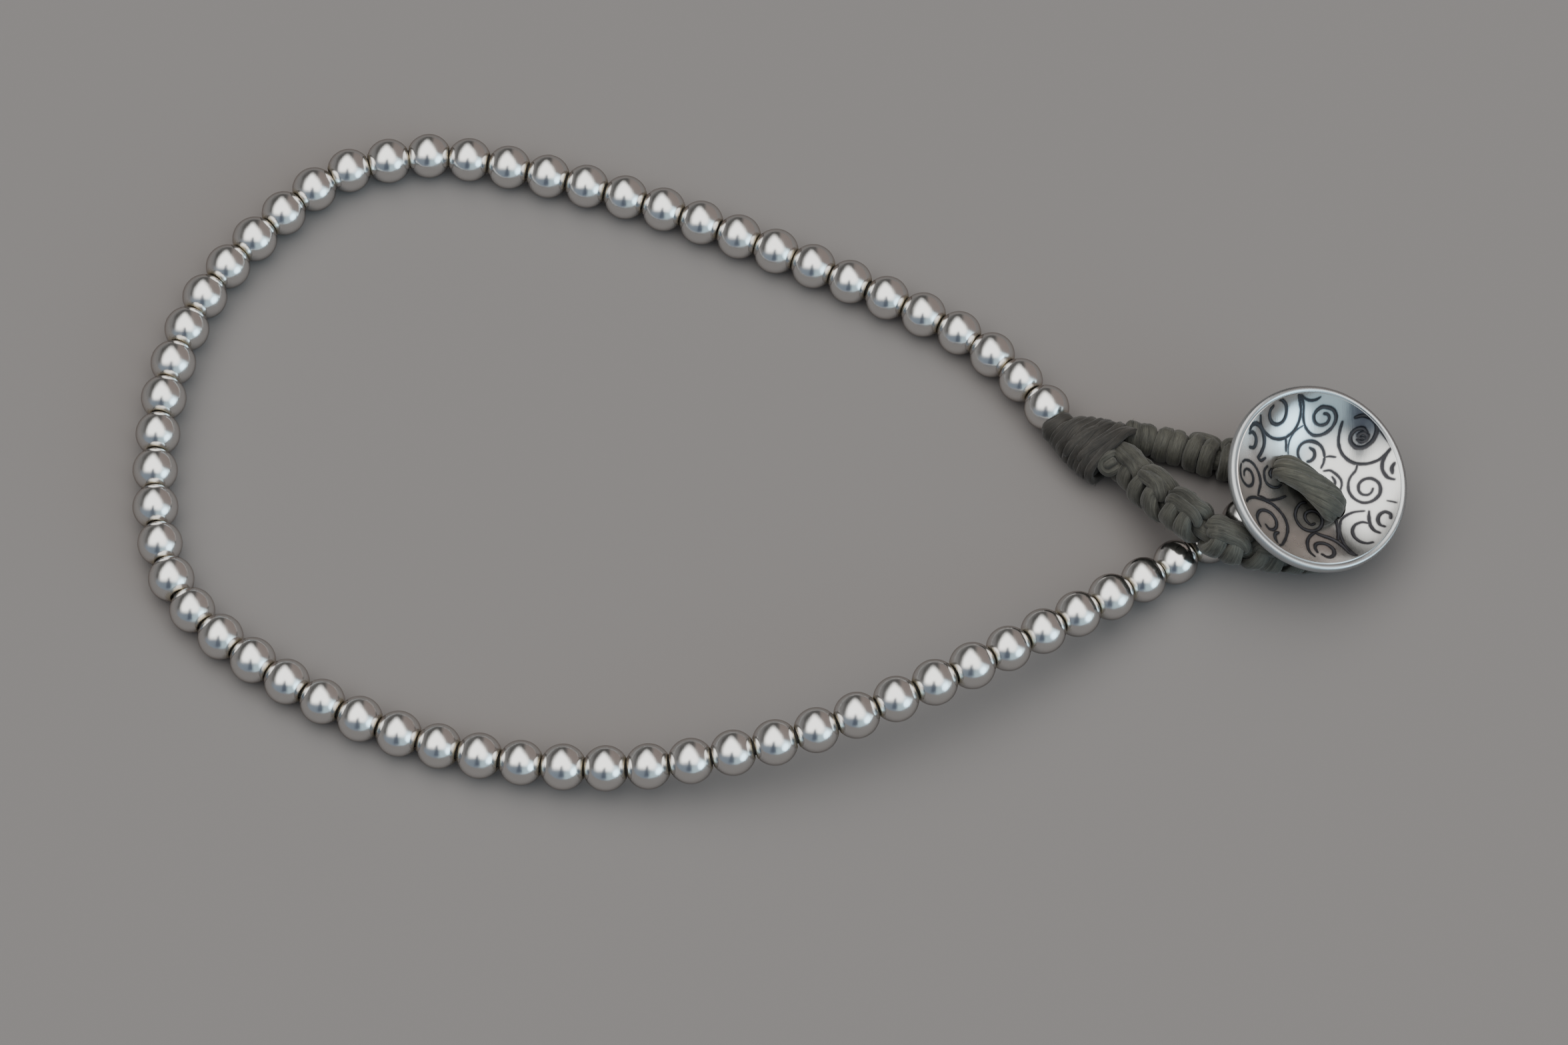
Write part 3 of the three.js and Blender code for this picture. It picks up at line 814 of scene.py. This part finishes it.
# Each cut of the graver: its half width, then its line over the face, in mm from the middle of the face.
SCROLLS = [
    (0.13, [(-2.85, 4.88), (-2.5, 4.84), (-2.19, 4.62), (-2.06, 4.2), (-2.19, 3.75), (-2.56, 3.49),
        (-2.97, 3.49), (-3.29, 3.75), (-3.36, 4.11), (-3.2, 4.4)]),
    (0.12, [(-4.08, 3.62), (-3.84, 3.11), (-3.38, 2.79), (-2.74, 2.63), (-2.1, 2.71), (-1.55, 3.02),
        (-1.17, 3.47), (-1.0, 4.02), (-1.05, 4.57), (-1.28, 5.03), (-1.51, 5.4)]),
    (0.12, [(-1.51, 5.4), (-1.2, 5.2), (-0.93, 4.85), (-0.73, 4.11), (-0.41, 3.61), (0.05, 3.31),
        (0.55, 3.31), (1.05, 3.56), (1.37, 3.98), (1.42, 4.43), (1.19, 4.8), (0.78, 4.95), (0.32, 4.92),
        (0.03, 4.66), (-0.05, 4.34), (0.14, 4.02), (0.5, 3.91), (0.87, 4.04), (1.0, 4.34), (0.85, 4.57),
        (0.6, 4.6)]),
    (0.08, [(0.05, 5.45), (-0.2, 5.28), (-0.6, 5.2), (-1.0, 5.26), (-1.3, 5.4)]),
    (0.12, [(1.87, 4.2), (1.83, 3.66), (1.87, 3.02), (2.1, 2.47), (2.51, 2.01), (3.11, 1.72), (3.75, 1.72),
        (4.34, 1.92), (4.71, 2.29), (5.0, 2.7)]),
    (0.15, [(2.6, 4.5), (3.0, 4.6), (3.45, 4.5), (3.88, 4.16), (4.02, 3.66), (3.88, 3.11), (3.47, 2.76),
        (3.02, 2.74), (2.65, 3.02), (2.56, 3.43), (2.79, 3.79), (3.2, 3.86), (3.5, 3.6)]),
    (0.14, [(3.0, 3.2), (3.25, 3.08), (3.5, 3.2), (3.55, 3.45), (3.3, 3.62), (3.05, 3.5), (3.1, 3.3),
        (3.35, 3.35)]),
    (0.1, [(4.2, 3.75), (4.55, 3.35), (4.85, 3.0), (5.0, 2.7)]),
    (0.12, [(5.0, 2.7), (4.8, 2.33), (4.62, 1.83), (4.66, 1.28), (4.94, 0.82), (5.3, 0.64)]),
    (0.13, [(5.25, 1.7), (5.14, 1.4), (5.2, 1.05)]),
    (0.11, [(3.2, 1.65), (3.13, 1.28), (2.88, 0.91), (2.74, 0.46), (2.77, -0.05), (3.06, -0.55),
        (3.56, -0.84), (4.07, -0.78), (4.48, -0.41), (4.6, 0.05), (4.46, 0.5), (4.07, 0.76), (3.66, 0.7),
        (3.38, 0.41), (3.36, 0.0), (3.56, -0.27), (3.88, -0.32), (4.1, -0.14), (4.18, 0.09)]),
    (0.12, [(0.96, 1.33), (1.1, 1.74), (1.08, 2.19), (0.82, 2.65), (0.37, 2.88), (-0.14, 2.88),
        (-0.55, 2.65), (-0.73, 2.29), (-0.69, 1.92), (-0.45, 1.6)]),
    (0.14, [(0.05, 2.5), (0.37, 2.33), (0.44, 2.01), (0.25, 1.72), (0.0, 1.62)]),
    (0.08, [(-0.65, 3.75), (-1.1, 3.4), (-1.4, 2.9), (-1.48, 2.4), (-1.43, 1.9)]),
    (0.12, [(-1.78, 2.9), (-1.66, 2.5), (-1.6, 2.05)]),
    (0.15, [(-4.8, 2.6), (-4.66, 2.95), (-4.25, 3.12), (-3.8, 2.98), (-3.47, 2.56), (-3.38, 2.06),
        (-3.55, 1.55), (-3.8, 1.15)]),
    (0.09, [(-3.8, 1.15), (-3.5, 1.05), (-3.15, 1.3)]),
    (0.13, [(-4.8, 2.4), (-4.52, 2.54), (-4.2, 2.38), (-4.09, 2.01), (-4.25, 1.69), (-4.6, 1.6)]),
    (0.1, [(-5.2, 0.46), (-4.89, 0.69), (-4.43, 0.73), (-3.98, 0.55), (-3.61, 0.09), (-3.49, -0.41),
        (-3.61, -0.91), (-3.75, -1.37)]),
    (0.1, [(-5.3, 0.3), (-5.38, -0.15), (-5.27, -0.6), (-4.97, -0.88), (-4.57, -0.96), (-4.22, -0.7),
        (-4.13, -0.27), (-4.34, 0.09), (-4.71, 0.16), (-4.96, -0.05), (-5.0, -0.35)]),
    (0.1, [(-2.95, 0.82), (-3.18, 0.46), (-3.15, 0.0), (-2.93, -0.35), (-2.51, -0.48), (-2.1, -0.41),
        (-1.85, -0.23)]),
    (0.13, [(-2.6, 0.69), (-2.72, 0.41), (-2.62, 0.18)]),
    (0.08, [(-3.75, -1.37), (-3.35, -1.37), (-2.93, -1.46), (-2.38, -1.33), (-1.83, -1.08), (-1.5, -0.9)]),
    (0.11, [(-4.9, -2.15), (-4.62, -1.83), (-4.11, -1.6), (-3.38, -1.55), (-2.65, -1.65), (-2.1, -1.97),
        (-1.74, -2.42), (-1.57, -3.02), (-1.69, -3.61), (-2.01, -4.2), (-2.33, -4.62), (-2.6, -4.8)]),
    (0.13, [(-3.93, -3.66), (-4.09, -3.25), (-4.0, -2.83), (-3.66, -2.42), (-3.2, -2.29), (-2.7, -2.42),
        (-2.42, -2.83), (-2.47, -3.29), (-2.79, -3.61), (-3.15, -3.64), (-3.38, -3.4)]),
    (0.14, [(-2.38, -3.7), (-2.7, -3.9), (-2.83, -4.25), (-2.75, -4.6)]),
    (0.12, [(-0.05, -1.1), (-0.41, -1.23), (-0.73, -1.65), (-0.87, -2.15), (-0.75, -2.65), (-0.41, -3.02),
        (0.09, -3.13), (0.59, -2.97), (0.91, -2.61), (0.99, -2.15), (0.73, -1.74), (0.32, -1.65),
        (-0.05, -1.83), (-0.18, -2.15), (-0.05, -2.47), (0.2, -2.65), (0.45, -2.55)]),
    (0.12, [(0.41, -3.2), (0.0, -3.52), (-0.27, -3.93), (-0.37, -4.39), (-0.32, -4.84), (-0.1, -5.12)]),
    (0.14, [(0.41, -3.2), (0.75, -3.36), (1.28, -3.52), (1.74, -3.79), (2.06, -4.16), (2.33, -4.6),
        (2.58, -4.8)]),
    (0.14, [(0.2, -4.75), (0.15, -4.4), (0.3, -4.12), (0.65, -3.98), (1.05, -4.06), (1.33, -4.35),
        (1.34, -4.71), (1.12, -5.0), (0.78, -5.08), (0.5, -4.9)]),
    (0.13, [(1.87, -2.06), (1.94, -2.56), (1.94, -3.11), (1.83, -3.6)]),
    (0.1, [(3.66, -1.44), (3.11, -1.51), (2.61, -1.74), (2.24, -2.1), (2.08, -2.61), (2.03, -3.15),
        (2.1, -3.75), (2.29, -4.25), (2.56, -4.68), (2.7, -4.78)]),
    (0.11, [(3.84, -2.33), (3.47, -2.24), (3.06, -2.42), (2.83, -2.83), (2.85, -3.29), (3.11, -3.66),
        (3.5, -3.82), (3.85, -3.75)]),
    (0.12, [(3.93, -1.46), (3.88, -1.92), (3.91, -2.47), (4.07, -2.85), (4.35, -3.05)]),
    (0.13, [(5.05, -2.0), (5.05, -1.7), (4.8, -1.53), (4.52, -1.69), (4.37, -2.06), (4.43, -2.42),
        (4.66, -2.58)]),
    (0.07, [(4.95, -0.76), (5.2, -0.84), (5.42, -0.93)]),
    (0.1, [(1.14, 1.14), (1.55, 1.21), (1.92, 1.01), (2.24, 0.69), (2.33, 0.32), (2.24, -0.09)]),
    (0.1, [(1.72, 0.8), (1.92, 0.5), (1.88, 0.2)]),
    (0.06, [(1.1, 2.01), (1.45, 2.1), (1.83, 2.08)]),
]


def dish_height(radius):
    """Height of the hollow face, part of a ball, from the plane of the rim. It is negative."""
    return BALL_RADIUS - DISH_DEPTH - math.sqrt(BALL_RADIUS**2 - radius**2)


FACE_STEP = 0.0471
BACK_STEP = 0.6
AXIS_GAP = 0.02
face = [(step * FACE_STEP, dish_height(step * FACE_STEP)) for step in range(120, 0, -1)]
rim = [
    (5.5, -1.08), (5.74, -0.96), (5.93, -0.85), (6.06, -0.74), (6.14, -0.6), (6.18, -0.43), (6.17, -0.28),
    (6.13, -0.16), (6.07, -0.07), (5.99, -0.02), (5.91, 0.0), (5.83, -0.015), (5.76, -0.05), (5.71, -0.1),
]
back = [(step * BACK_STEP, dish_height(step * BACK_STEP) - BUTTON_WALL) for step in range(1, 9)]
inmost = [(AXIS_GAP, dish_height(0)), (AXIS_GAP, dish_height(0) - BUTTON_WALL)]
dish = turned("dish", [inmost[1], *back, *rim, *face, inmost[0]], segments=600)
drill_outline = [(0.01, -DRILL_DEPTH), (HOLE_RADIUS, -DRILL_DEPTH), (HOLE_RADIUS, 0), (0.01, 0)]
hole_line = Vector((math.cos(HOLE_TURN), math.sin(HOLE_TURN), 0))
for side in (-1, 1):
    drill = turned("drill", drill_outline, segments=48)
    drill.data.transform(Matrix.Translation(HOLE_SHIFT + hole_line * side * HOLE_SPACING / 2))
    cut = dish.modifiers.new("hole", "BOOLEAN")
    cut.operation = "DIFFERENCE"
    cut.solver = "MANIFOLD"
    cut.object = drill
    dish.data = plain_mesh(dish)
    bpy.data.objects.remove(drill)

cut_points, cut_edges, cut_widths = [], [], []
for half_width, scroll in SCROLLS:
    line = smooth_path([(x, y, 0) for x, y in scroll], per_span=10)
    cut_edges += [(len(cut_points) + i, len(cut_points) + i + 1) for i in range(len(line) - 1)]
    cut_points += line
    for i in range(len(line)):
        middle = math.sin(math.pi * i / (len(line) - 1)) ** 0.6
        cut_widths.append(half_width * (0.5 + 0.36 * middle))
cuts_mesh = bpy.data.meshes.new("cuts")
cuts_mesh.from_pydata(cut_points, cut_edges, [])
cuts_mesh.attributes.new("half_width", "FLOAT", "POINT").data.foreach_set("value", cut_widths)
cuts = new_object("cuts", cuts_mesh)

# from_cut is how far a point of the face is from the nearest cut in mm, and it is less than 0 inside one.
oxidised, nodes = new_finish("oxidised_silver")
place = nodes.add("ShaderNodeTexCoord", output="Object")
distance = nodes.add("ShaderNodeAttribute", {"attribute_name": "from_cut"}, output="Fac")
wear = nodes.grain(place, 2600.0, 4.0, 0.6)
brush = nodes.grain(nodes.vector("MULTIPLY", place, (9000.0, 900.0, 900.0)), 1.0, 3.0, 0.6)
cloud = nodes.grain(place, 500.0, 2.0, 0.5)
in_cut = 1 - nodes.smooth_step(distance + wear * 0.06, 0.0, 0.12)
deep = 1 - nodes.smooth_step(distance, -0.1, 0.01)
on_rim = nodes.smooth_step(distance, 1.2, 1.8)
halo = (1 - nodes.smooth_step(distance + wear * 0.25, 0.05, 0.42)) * 0.4
# The side of the face to the left and towards the camera is painted lighter and browner, a painted
# reflection of dim brown surroundings, and the metal there is a little rougher and less metallic.
aside = nodes.vector("DOT_PRODUCT", place, (-0.85, -0.53, 0.0), output="Value")
painted_reflection_side = nodes.smooth_step(aside + (cloud - 0.5) * 0.003, -0.0275, -0.0235)
metal_colour = nodes.mix(painted_reflection_side, (0.56, 0.557, 0.548, 1), (0.76, 0.66, 0.615, 1))
metal_colour = nodes.mix(halo, metal_colour, (0.34, 0.335, 0.335, 1))
metal_colour = nodes.mix(in_cut, metal_colour, (0.034, 0.033, 0.038, 1))
metal_colour = nodes.mix(on_rim, metal_colour, (0.47, 0.48, 0.49, 1))
brushed = nodes.bump(brush, 0.12, 0.00002)
nodes.surface(
    {
        "Base Color": metal_colour,
        "Metallic": 1 - deep * 0.5 - painted_reflection_side * 0.1,
        "Roughness": 0.12 + 0.1 * wear + 0.1 * on_rim + 0.4 * deep + 0.12 * painted_reflection_side,
        "Normal": nodes.bump(cloud, 0.15, 0.00008, brushed),
    }
)

face_inputs = {
    "Cuts": ("Object", cuts),
    "Depth": ("Float", GROOVE_DEPTH),
    "Face Radius": ("Float", 5.7),
    "Ball Height": ("Float", BALL_RADIUS - DISH_DEPTH),
}
nodes, given = geometry_tree("engraved_face", face_inputs)
position = nodes.add("GeometryNodeInputPosition")
spot = nodes.split(position)
flat = nodes.combine(X=spot, Y=spot.other("Y"))
from_middle = nodes.vector("LENGTH", flat, (0, 0, 0), output="Value")
ball_middle = nodes.combine(Z=given["Ball Height"])
from_ball = nodes.vector("DISTANCE", position, ball_middle, output="Value")
uneven = nodes.grain(position, 1.6, 2.0, 0.5)
graver = nodes.add("GeometryNodeObjectInfo", None, {"Object": given["Cuts"]}, output="Geometry")
near = nodes.add(
    "GeometryNodeProximity",
    {"target_element": "EDGES"},
    {0: graver, "Sample Position": flat},
    output="Distance",
)
nearest = nodes.add("GeometryNodeSampleNearest", None, {"Geometry": graver, "Sample Position": flat})
width = nodes.add(
    "GeometryNodeInputNamedAttribute", {"data_type": "FLOAT"}, {"Name": "half_width"}, output="Attribute"
)
half_width = nodes.add(
    "GeometryNodeSampleIndex", {"data_type": "FLOAT"}, {"Geometry": graver, "Value": width, "Index": nearest}
)
away = near + (uneven - 0.5) * 0.06 - half_width
# The face is the part of the dish near its ball and inside the rim. The cuts end short of the rim.
near_ball = 1 - nodes.smooth_step(from_ball, BALL_RADIUS + 0.1, BALL_RADIUS + 0.3)
edge = given["Face Radius"]
on_face = near_ball * (1 - nodes.smooth_step(from_middle, edge - 0.06, edge))
in_reach = 1 - nodes.smooth_step(from_middle, edge - 0.3, edge - 0.14)
sunk = on_face * in_reach * (1 - nodes.smooth_step(away, -0.16, -0.04))
told = nodes.add(
    "GeometryNodeStoreNamedAttribute",
    {"data_type": "FLOAT", "domain": "POINT"},
    {"Geometry": given["Geometry"], "Name": "from_cut", "Value": away + (1 - on_face) * 2.0},
)
lower = nodes.combine(Z=sunk * given["Depth"] * -1.0)
engraved = nodes.add("GeometryNodeSetPosition", None, {"Geometry": told, "Offset": lower})
button = grow("engraved_button", dish, nodes, engraved, oxidised, face_inputs)
bpy.data.objects.remove(cuts)
button.data.transform(Matrix.Scale(MM, 4) @ button_place)
button.data.shade_smooth()
button.data.set_sharp_from_angle(angle=math.radians(50))
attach(button, "root")
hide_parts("button")


# Button cord: a fat stitch of the same thread lies across the button's face and goes down both holes.
# Under the button it runs into the short bound neck after the last bead.
stitch_place = button_place @ Matrix.Translation(HOLE_SHIFT) @ Matrix.Rotation(HOLE_TURN, 4, "Z")
face_height = dish_height(0)
# Each row: place along the line of the holes, height over the bottom of the face, half width of the bundle.
STITCH_ROWS = [
    (-1.93, -1.3, 0.68), (-2.04, -0.6, 0.76), (-2.2, 0.12, 0.88), (-1.9, 0.74, 0.98), (-1.1, 1.0, 1.0),
    (0.0, 1.05, 1.02), (1.0, 0.98, 1.1), (1.65, 0.72, 1.14), (2.0, 0.2, 1.1), (2.05, -0.55, 0.88),
    (1.93, -1.3, 0.68), (1.75, -2.0, 0.6), (0.9, -2.35, 0.6), (0.0, -2.4, 0.6), (-0.9, -2.35, 0.6),
    (-1.75, -2.0, 0.6),
]
rubbed_thread = thread_finish("rubbed_olive_thread", (0.012, 0.0115, 0.009), (0.102, 0.098, 0.078))
ring_rows = smooth_path([*STITCH_ROWS, STITCH_ROWS[0]], per_span=7)[:-1]
ring_line = [Vector((x, 0, face_height + z)) for x, z, _ in ring_rows]
STRANDS = 6
SPREAD_ASIDE = 0.62
SPREAD_OUT = 0.42
aside = Vector((0, 1, 0))
stitch = Strands()
for number in range(STRANDS):
    strand_line, outward, sizes = [], [], []
    for i, (point, row) in enumerate(zip(ring_line, ring_rows)):
        along = (ring_line[(i + 1) % len(ring_line)] - ring_line[i - 1]).normalized()
        out = along.cross(aside) * -1
        angle = 2 * math.pi * (number / STRANDS + i / len(ring_line)) + 0.5
        wander = 1 + 0.25 * noise.noise(Vector((number * 3.1, i * 0.06, 0.5)))
        strand_line.append(
            point
            + aside * math.cos(angle) * row.z * SPREAD_ASIDE * wander
            + out * math.sin(angle) * row.z * SPREAD_OUT
        )
        outward.append(out * math.sin(angle) * 0.8 + aside * math.cos(angle) * 0.8 + out * 0.001)
        sizes.append(row.z * (0.42 + 0.1 * noise.noise(Vector((number * 1.7, i * 0.05, 2.5)))))
    stitch.sweep(
        strand_line,
        listed(sizes),
        listed([size * 0.8 for size in sizes]),
        up=outward,
        sides=18,
        lumps=0.16,
        seed=number * 2.7 + 0.4,
        ring=True,
        strays=14,
    )
stitch_piece = stitch.piece("button_stitch", rubbed_thread, stitch_place)
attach(stitch_piece, "root")
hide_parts("button_cord")

UNDER_RADIUS = 0.62
COIL_TURNS = 8
COIL_STEPS = 260
under = Strands()
under_line = smooth_path([(30.4, -4.9, 1.9), (31.6, -4.1, 2.1), (33.0, -3.6, 2.2), (34.4, -3.2, 2.4)], 10)
under.sweep(under_line, UNDER_RADIUS, UNDER_RADIUS, sides=14, lumps=0.04, seed=1.1)
coil, outward = [], []
for i in range(COIL_STEPS + 1):
    share = i / COIL_STEPS
    at = share * (len(under_line) - 1)
    low = min(int(at), len(under_line) - 2)
    centre = under_line[low].lerp(under_line[low + 1], at - low)
    along = (under_line[low + 1] - under_line[low]).normalized()
    level = Vector((0, 0, 1)).cross(along).normalized()
    angle = share * 2 * math.pi * COIL_TURNS
    out = level * math.cos(angle) + along.cross(level) * math.sin(angle)
    coil.append(centre + out * UNDER_RADIUS)
    outward.append(out)
under.sweep(coil, 0.3, 0.2, up=outward, sides=10, lumps=0.06, seed=0.6)
under_piece = under.piece("button_neck", green_thread)
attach(under_piece, "root")


# Studio: a plain pale table top under a dim dome with soft lights in it, round ones and straight-edged ones.
# The dark places between the lights give the polished silver its depth.
TABLE_HALF = 2
floor_mesh = bpy.data.meshes.new("floor")
floor_corners = [(x * TABLE_HALF, y * TABLE_HALF, 0) for x, y in [(-1, -1), (1, -1), (1, 1), (-1, 1)]]
floor_mesh.from_pydata(floor_corners, [], [(0, 1, 2, 3)])
floor = new_object("floor", floor_mesh)
pale, nodes = new_finish("pale_table_top")
nodes.surface({"Base Color": (0.19, 0.176, 0.172, 1), "Roughness": 0.9, "Specular IOR Level": 0.0})
floor_mesh.materials.append(pale)

world = bpy.data.worlds.new("studio_dome")
bpy.context.scene.world = world
world.use_nodes = True
nodes = Nodes(world.node_tree)
towards = nodes.add("ShaderNodeTexCoord", output="Generated")
glow = (0.24, 0.235, 0.23, 1)

# The straight-edged lights are laid out as they show in a polished ball: across and up over its face.
ball_right = Vector((1, 0, 0))
ball_up = Vector((0, math.sin(LOOK_DOWN), math.cos(LOOK_DOWN)))
half_way = nodes.vector("ADD", towards, ball_right.cross(ball_up))
ball_face = nodes.add("ShaderNodeVectorMath", {"operation": "NORMALIZE"}, {0: half_way})


def round_light(glow, azimuth, elevation, core, edge, colour):
    """Adds a round soft light, full bright inside core and gone outside edge. All angles are in degrees.

    Azimuth runs from +Y towards +X.
    """
    turn, rise = math.radians(azimuth), math.radians(elevation)
    aim = (math.cos(rise) * math.sin(turn), math.cos(rise) * math.cos(turn), math.sin(rise))
    nearness = nodes.vector("DOT_PRODUCT", towards, aim, output="Value")
    share = nodes.smooth_step(nearness, math.cos(math.radians(edge)), math.cos(math.radians(core)))
    return nodes.mix(share, glow, (*colour, 1))


def window_light(glow, corners, softness, colour):
    """Adds a light, or a shade, with straight soft edges. The corners go round it clockwise."""
    shares = []
    for (x, y), (next_x, next_y) in zip(corners, corners[1:] + corners[:1]):
        inwards = Vector((next_y - y, x - next_x)).normalized()
        side = ball_right * inwards.x + ball_up * inwards.y
        depth = nodes.vector("DOT_PRODUCT", ball_face, side, output="Value") - inwards.dot((x, y))
        shares.append(nodes.smooth_step(depth, -softness, softness))
    return nodes.mix(math.prod(shares), glow, (*colour, 1))


DARK_WALL = [(0.15, 0.86), (0.2, 0.55), (-0.42, -0.05), (-0.62, 0.05), (-0.5, 0.6), (-0.15, 0.88)]
SIDE_WINDOW = [(0.0, 0.3), (0.4, 0.14), (0.8, -0.05), (0.74, -0.26), (0.0, -0.1)]
WHITE_TENT = [
    (-0.08, 0.7), (0.26, 0.36), (0.36, 0.1), (0.28, -0.1), (-0.44, -0.06), (-0.46, 0.1), (-0.36, 0.4),
]
DARK_ONLOOKER = [(-0.1, 0.05), (0.0, 0.07), (0.04, -0.42), (-0.19, -0.42)]
# Each round light: azimuth, elevation, core, edge and colour.
for light in [
    (58, 22, 28, 60, (0.3, 0.255, 0.235)),
    (215, 15, 10, 50, (0.26, 0.31, 0.37)),
    (150, 15, 8, 40, (0.6, 0.8, 0.9)),
    (205, 26, 12, 34, (0.24, 0.29, 0.35)),
]:
    glow = round_light(glow, *light)
glow = window_light(glow, DARK_WALL, softness=0.08, colour=(0.085, 0.083, 0.08))
glow = window_light(glow, SIDE_WINDOW, softness=0.08, colour=(1.4, 1.75, 1.9))
glow = window_light(glow, WHITE_TENT, softness=0.12, colour=(2.8, 2.8, 2.7))
glow = window_light(glow, DARK_ONLOOKER, softness=0.06, colour=(0.1, 0.12, 0.16))
glow = round_light(glow, azimuth=124, elevation=17, core=7, edge=22, colour=(2.8, 4.0, 4.7))
background = nodes.add("ShaderNodeBackground", None, {"Color": glow, "Strength": 1.0})
nodes.add("ShaderNodeOutputWorld", None, {"Surface": background})
